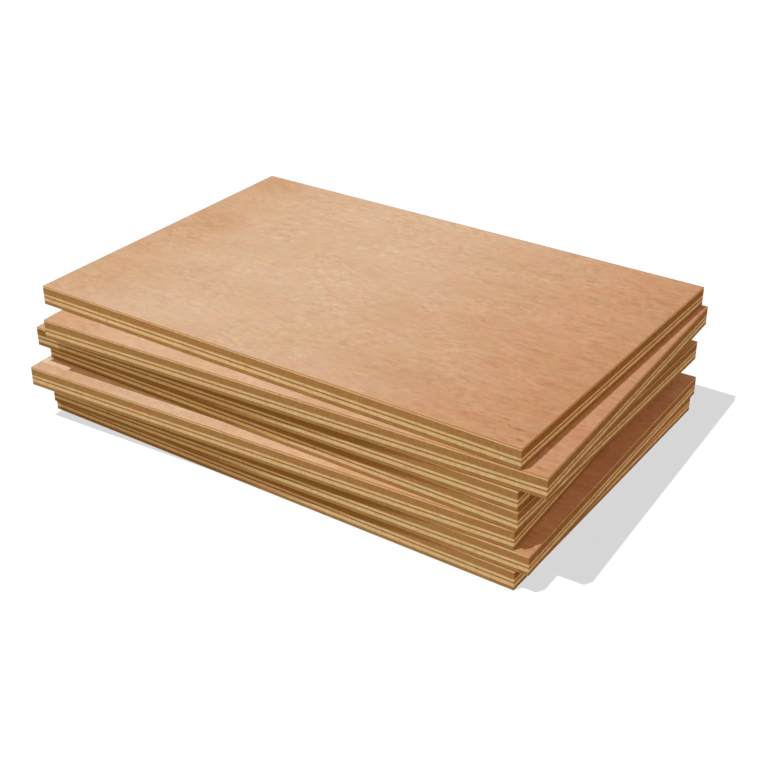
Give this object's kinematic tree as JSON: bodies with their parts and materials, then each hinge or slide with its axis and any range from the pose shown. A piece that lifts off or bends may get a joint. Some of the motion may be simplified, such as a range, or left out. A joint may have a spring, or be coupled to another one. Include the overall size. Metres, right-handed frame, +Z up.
{
  "type": "stack of plywood sheets",
  "caption": "Loose stack of plywood sheets of one size, laid flat and slightly turned on each other, with plies showing as bands along the sawn edges.",
  "frame": {"origin": "on the floor, under the middle of the stack's bounding box", "axes": "+X along the sheets' long edges and the grain of their faces, +Y across them, +Z up; the lowest sheet lies square to X and Y"},
  "size_m": [0.6488, 0.4362, 0.1544],
  "materials": {
    "face_wood": "satin",
    "brown_wood": "matte",
    "pale_wood": "matte",
    "dark_wood": "matte"
  },
  "bodies": {
    "root": {"sheet_1_back_ply": "brown_wood", "sheet_1_lower_pale_ply": "pale_wood", "sheet_1_dark_ply": "dark_wood", "sheet_1_upper_pale_ply": "pale_wood", "sheet_1_crossband": "brown_wood", "sheet_1_face_veneer": "face_wood", "sheet_2_back_ply": "brown_wood", "sheet_2_lower_pale_ply": "pale_wood", "sheet_2_dark_ply": "dark_wood", "sheet_2_upper_pale_ply": "pale_wood", "sheet_2_crossband": "brown_wood", "sheet_2_face_veneer": "face_wood", "sheet_3_back_ply": "brown_wood", "sheet_3_lower_pale_ply": "pale_wood", "sheet_3_dark_ply": "dark_wood", "sheet_3_upper_pale_ply": "pale_wood", "sheet_3_crossband": "brown_wood", "sheet_3_face_veneer": "face_wood", "sheet_4_back_ply": "brown_wood", "sheet_4_lower_pale_ply": "pale_wood", "sheet_4_dark_ply": "dark_wood", "sheet_4_upper_pale_ply": "pale_wood", "sheet_4_crossband": "brown_wood", "sheet_4_face_veneer": "face_wood", "sheet_5_back_ply": "brown_wood", "sheet_5_lower_pale_ply": "pale_wood", "sheet_5_dark_ply": "dark_wood", "sheet_5_upper_pale_ply": "pale_wood", "sheet_5_crossband": "brown_wood", "sheet_5_face_veneer": "face_wood", "sheet_6_back_ply": "brown_wood", "sheet_6_lower_pale_ply": "pale_wood", "sheet_6_dark_ply": "dark_wood", "sheet_6_upper_pale_ply": "pale_wood", "sheet_6_crossband": "brown_wood", "sheet_6_face_veneer": "face_wood", "sheet_7_back_ply": "brown_wood", "sheet_7_lower_pale_ply": "pale_wood", "sheet_7_dark_ply": "dark_wood", "sheet_7_upper_pale_ply": "pale_wood", "sheet_7_crossband": "brown_wood", "sheet_7_face_veneer": "face_wood"}
  },
  "joints": []
}
